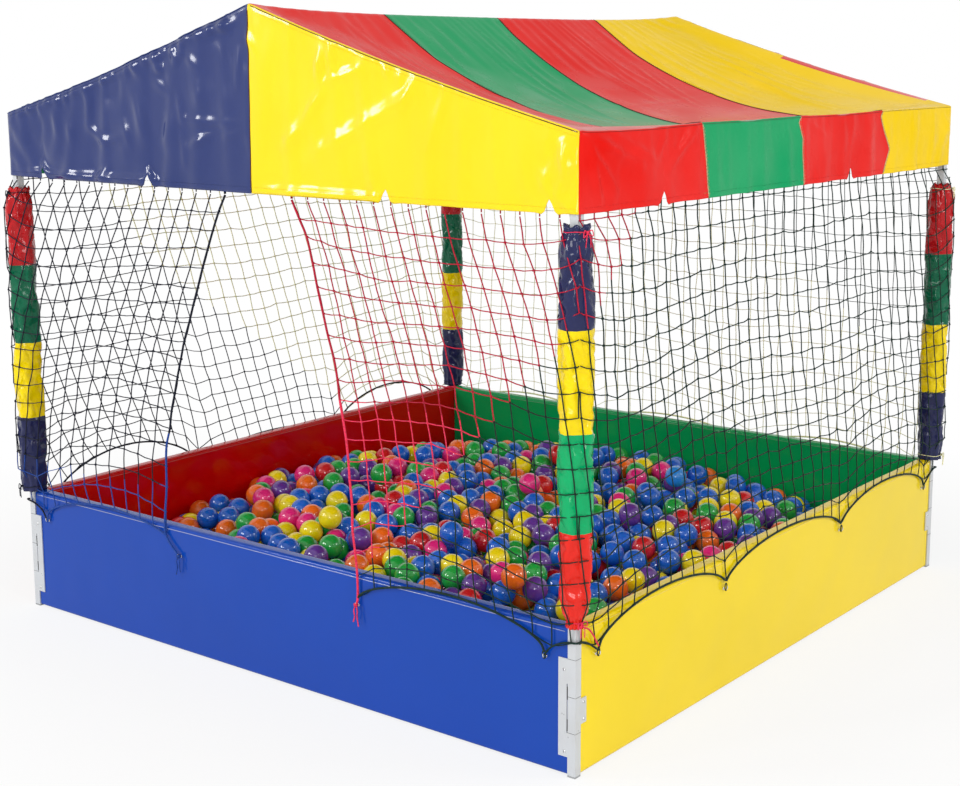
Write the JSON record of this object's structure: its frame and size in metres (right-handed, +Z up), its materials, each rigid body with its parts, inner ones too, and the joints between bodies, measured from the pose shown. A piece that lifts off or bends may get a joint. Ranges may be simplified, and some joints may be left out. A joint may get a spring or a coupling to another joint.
{
  "type": "ball pit",
  "caption": "Square ball pit with padded walls, a lift-off steel canopy with padded posts, hanging nets with a parted entrance, a gable roof cover and loose balls.",
  "frame": {"origin": "on the floor, at the middle of the square pit", "axes": "+Z up; -Y is the front, with the entrance between the two net flaps; the roof's ridge runs along Y"},
  "size_m": [2.07, 2.07, 1.77],
  "materials": {
    "steel_paint": "satin",
    "grey_plastic": "matte",
    "plywood": "matte",
    "vinyl_blue": "gloss",
    "vinyl_yellow": "gloss",
    "vinyl_green": "gloss",
    "vinyl_red": "gloss",
    "vinyl_navy": "gloss",
    "cord_navy": "matte",
    "cord_red": "matte",
    "cord_green": "matte",
    "cord_yellow": "matte",
    "mat_grey": "matte",
    "ball_mix": "gloss",
    "ball_orange": "gloss",
    "ball_blue": "gloss",
    "ball_yellow": "gloss",
    "ball_green": "gloss",
    "ball_pink": "gloss",
    "ball_purple": "gloss",
    "ball_red": "gloss",
    "ball_light_blue": "gloss"
  },
  "bodies": {
    "base": {"wall_pad_front": "vinyl_blue", "wall_pad_right": "vinyl_yellow", "wall_pad_back": "vinyl_green", "wall_pad_left": "vinyl_red", "wall_board_front": "plywood", "wall_board_right": "plywood", "wall_board_back": "plywood", "wall_board_left": "plywood", "long_bracket_front_left": "steel_paint", "long_bracket_front_right": "steel_paint", "long_bracket_back_left": "steel_paint", "long_bracket_back_right": "steel_paint", "short_bracket_front_left": "steel_paint", "short_bracket_front_right": "steel_paint", "short_bracket_back_left": "steel_paint", "short_bracket_back_right": "steel_paint", "foot_cap_front_left": "grey_plastic", "foot_cap_front_right": "grey_plastic", "foot_cap_back_left": "grey_plastic", "foot_cap_back_right": "grey_plastic", "floor_mat": "mat_grey", "ball_bed": "ball_mix"},
    "canopy": {"post_front_left": "steel_paint", "post_front_right": "steel_paint", "post_back_left": "steel_paint", "post_back_right": "steel_paint", "corner_connector_front_left": "steel_paint", "corner_connector_front_right": "steel_paint", "corner_connector_back_left": "steel_paint", "corner_connector_back_right": "steel_paint", "rafter_front_left": "steel_paint", "rafter_front_right": "steel_paint", "rafter_back_left": "steel_paint", "rafter_back_right": "steel_paint", "post_cover_front_left": "vinyl_navy", "post_cover_front_right": "vinyl_navy", "post_cover_back_left": "vinyl_navy", "post_cover_back_right": "vinyl_navy", "apex_connector_front": "steel_paint", "apex_connector_back": "steel_paint", "eave_rail_left": "steel_paint", "eave_rail_right": "steel_paint", "gable_rail_front": "steel_paint", "gable_rail_back": "steel_paint", "ridge_pole": "steel_paint", "net_left": "cord_navy", "net_right": "cord_green", "net_back": "cord_yellow", "net_header_front": "cord_navy"},
    "roof_cover": {"roof_cover": "vinyl_red"},
    "flap_left": {"net_flap_left": "cord_navy"},
    "flap_right": {"net_flap_right": "cord_red"},
    "ball_orange": {"ball_orange": "ball_orange"},
    "ball_blue": {"ball_blue": "ball_blue"},
    "ball_yellow": {"ball_yellow": "ball_yellow"},
    "ball_green": {"ball_green": "ball_green"},
    "ball_pink": {"ball_pink": "ball_pink"},
    "ball_purple": {"ball_purple": "ball_purple"},
    "ball_red": {"ball_red": "ball_red"},
    "ball_light_blue": {"ball_light_blue": "ball_light_blue"}
  },
  "joints": [
    {"name": "canopy_lift", "type": "slide", "parent": "base", "child": "canopy", "axis": [0, 0, 1], "range_m": [0, 0.3]},
    {"name": "cover_lift", "type": "slide", "parent": "canopy", "child": "roof_cover", "axis": [0, 0, 1], "range_m": [0, 0.5]},
    {"name": "flap_left_swing", "type": "hinge", "parent": "canopy", "child": "flap_left", "pos_m": [-0.5, -1.0018, 1.286], "axis": [-1, 0, 0], "range_deg": [0, 75]},
    {"name": "flap_right_swing", "type": "hinge", "parent": "canopy", "child": "flap_right", "pos_m": [0.5, -1.0018, 1.286], "axis": [-1, 0, 0], "range_deg": [0, 75]},
    {"name": "ball_orange_lift", "type": "slide", "parent": "base", "child": "ball_orange", "axis": [0, 0, 1], "range_m": [0, 0.25]},
    {"name": "ball_blue_lift", "type": "slide", "parent": "base", "child": "ball_blue", "axis": [0, 0, 1], "range_m": [0, 0.25]},
    {"name": "ball_yellow_lift", "type": "slide", "parent": "base", "child": "ball_yellow", "axis": [0, 0, 1], "range_m": [0, 0.25]},
    {"name": "ball_green_lift", "type": "slide", "parent": "base", "child": "ball_green", "axis": [0, 0, 1], "range_m": [0, 0.25]},
    {"name": "ball_pink_lift", "type": "slide", "parent": "base", "child": "ball_pink", "axis": [0, 0, 1], "range_m": [0, 0.25]},
    {"name": "ball_purple_lift", "type": "slide", "parent": "base", "child": "ball_purple", "axis": [0, 0, 1], "range_m": [0, 0.25]},
    {"name": "ball_red_lift", "type": "slide", "parent": "base", "child": "ball_red", "axis": [0, 0, 1], "range_m": [0, 0.25]},
    {"name": "ball_light_blue_lift", "type": "slide", "parent": "base", "child": "ball_light_blue", "axis": [0, 0, 1], "range_m": [0, 0.25]}
  ]
}
